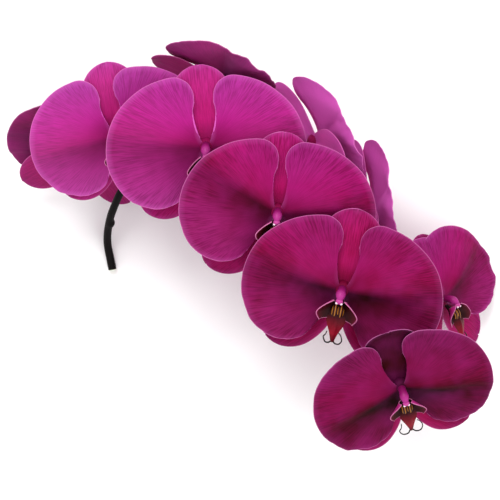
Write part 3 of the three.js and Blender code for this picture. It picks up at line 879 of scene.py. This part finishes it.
def stalk():
    """The peduncle and rachis as one tube, with a ring that the node swells and a marked cut end."""
    shares = np.concatenate([[0, 0.0006], np.linspace(0.004, 1, 400)])
    radii = mix(*STALK_RADII, shares) + NODE_HEIGHT * np.exp(-(((shares - NODE_AT) / 0.007) ** 2))
    line = smooth_line(STEM_LINE, shares)
    line[:, 0] += NODE_HEIGHT * np.exp(-(((shares - NODE_AT) / 0.006) ** 2))
    vertices, faces, values = tube(line, radii, STALK_SIDES, dict(bract=0))
    values["cut"] = np.repeat(np.where(shares == 0, 1.0, 0.0), STALK_SIDES)
    return vertices, faces, values


print("vertices of the main stalk:", len(stalk()[0]))

# %% [markdown]
# Each pedicel is a thin tube along a curve with four control points: two follow the main stalk where it
# leaves, and two line up behind the bloom. A small dry bract wraps its foot, a sheet rolled round the tube.

# %% Pedicels and bracts
PEDICEL_RADIUS = 1.25
PEDICEL_LEAD = 8
PEDICEL_END = -7.35
PEDICEL_BEND = -16.35
BRACT_LENGTH = 6.5
BRACT_RADIUS = 2.1


def pedicel(bloom):
    """The thin stalk of one bloom, a cubic Bezier from the main stalk to the back of the hub."""
    place = placement(bloom)
    shift = Vector(FOOTPRINT_SHIFT)
    heights = (PEDICEL_END, PEDICEL_BEND)
    end, bend = (np.array(place @ Vector((0, 0, z)) / MM - shift) for z in heights)
    start, ahead = smooth_line(STEM_LINE, [bloom["stem"], bloom["stem"] + 0.01])
    ahead = PEDICEL_LEAD * (ahead - start) / np.linalg.norm(ahead - start)
    t = np.linspace(0, 1, 60)[:, None]
    line = (1 - t) ** 3 * start + 3 * (1 - t) ** 2 * t * (start + ahead)
    line = line + 3 * (1 - t) * t**2 * bend + t**3 * end
    radii = PEDICEL_RADIUS + 0.25 * t[:, 0] + 0.35 * np.clip(t[:, 0] * 5 - 4, 0, 1)
    return tube(line, radii, 20, dict(bract=0)), line


def bract(line):
    """A small pointed scale that wraps the foot of a pedicel."""
    u = np.linspace(0, 1, 15)[:, None]
    v = np.linspace(-1, 1, 11)[None]
    ahead = line[6] - line[0]
    ahead /= np.linalg.norm(ahead)
    side = np.cross(ahead, (0, 0, 1.0))
    side /= np.linalg.norm(side)
    up = np.cross(side, ahead)
    turn = 1.5 * v * (1 - u**2)
    radius = BRACT_RADIUS + 0.5 * u
    foot = line[4] - ahead
    points = foot + ahead * (BRACT_LENGTH * u * np.ones_like(v))[..., None]
    points = points + radius[..., None] * (np.sin(turn)[..., None] * side + np.cos(turn)[..., None] * up)
    return sheet(points, MARGIN_THICKNESS, dict(bract=1, cut=0))


routes = [pedicel(bloom) for bloom in BLOOMS]
print("pedicels:", len(routes))

# %% [markdown]
# The stalk's skin is deep green under so much red pigment that it looks black, with fine lengthwise streaks
# and a dull bloom. The cut end shows pale green pith. The bracts are thin and brown.

# %% Stalk skin
STALK_SKIN = new_material("stalk skin")
names = ("along", "around", "cut", "bract")
spots = (add_node(STALK_SKIN, "Attribute", attribute_name=name).outputs["Fac"] for name in names)
along, around, cut, is_bract = spots
place = add_node(STALK_SKIN, "CombineXYZ", {"X": along, "Y": around})
streaks = add_node(STALK_SKIN, "TexNoise", {"Vector": place, "Scale": 14, "Detail": 4, "Roughness": 0.7})
skin = add_node(STALK_SKIN, "ValToRGB", {"Fac": streaks})
set_ramp(skin, [(0.3, "#070506"), (0.55, "#0e090a"), (0.75, "#171110")])
pith = add_node(STALK_SKIN, "Mix", {0: cut, 6: skin, 7: linear("#9dab7c")}, data_type="RGBA")
colour = add_node(STALK_SKIN, "Mix", {0: is_bract, 6: pith, 7: linear("#4a3024")}, data_type="RGBA")
finish(STALK_SKIN, colour, roughness=0.5, specular=0.12, bump=streaks, depth=0.0001)

place = Matrix.Translation(Vector(FOOTPRINT_SHIFT) * MM) @ Matrix.Scale(MM, 4)
shells = [stalk()] + [shell for shell, line in routes] + [bract(line) for shell, line in routes]
make_piece("stalk", shells, STALK_SKIN, place, "stem")
print("shells of the stalk:", len(shells))

# %% [markdown]
# ## The floor, the light and the camera
#
# The spray lies on a pale, plain table. One broad soft lamp stands on the side of the picture's top, as a
# window would, and a weak even light fills the shadows. The camera looks straight down from one metre.

# %% Floor, light and camera
CAMERA_HEIGHT = 1.0
CAMERA_AT = (-2.04, -3.48)
VIEW_WIDTH = 0.26
VIEW_DISTANCE = 0.92
SENSOR = 36
SKY_LIGHT = 0.95
LIT_POINT = (0, 0, 0.05)

bpy.ops.mesh.primitive_plane_add(size=6)
floor = bpy.context.object
floor.name = "floor"
paper = new_material("pale table")
paper.node_tree.nodes["Principled BSDF"].inputs["Base Color"].default_value = linear("#fbfafa")
paper.node_tree.nodes["Principled BSDF"].inputs["Roughness"].default_value = 0.9
floor.data.materials.append(paper)


def lamp(name, at, size, power):
    """A white square lamp that faces the spray."""
    light = bpy.data.lights.new(name, "AREA")
    light.size = size
    light.energy = power
    stand = bpy.data.objects.new(name, light)
    stand.location = at
    stand.rotation_euler = (Vector(LIT_POINT) - Vector(at)).to_track_quat("-Z", "Y").to_euler()
    bpy.context.scene.collection.objects.link(stand)


lamp("window", (-0.35, 1.1, 1.5), 0.9, 20)
lamp("fill", (0.7, -0.9, 1.5), 2, 12)

world = bpy.data.worlds.new("studio")
world.use_nodes = True
world.node_tree.nodes["Background"].inputs["Color"].default_value = linear("#ffffff")
world.node_tree.nodes["Background"].inputs["Strength"].default_value = SKY_LIGHT
bpy.context.scene.world = world
bpy.context.scene.view_settings.view_transform = "Standard"

camera = bpy.data.cameras.new("camera")
camera.sensor_width = SENSOR
camera.lens = SENSOR * VIEW_DISTANCE / VIEW_WIDTH
eye = bpy.data.objects.new("camera", camera)
eye.location = (CAMERA_AT[0] * MM, CAMERA_AT[1] * MM, CAMERA_HEIGHT)
bpy.context.scene.collection.objects.link(eye)
bpy.context.scene.camera = eye
print("lens:", round(camera.lens, 1), "mm")
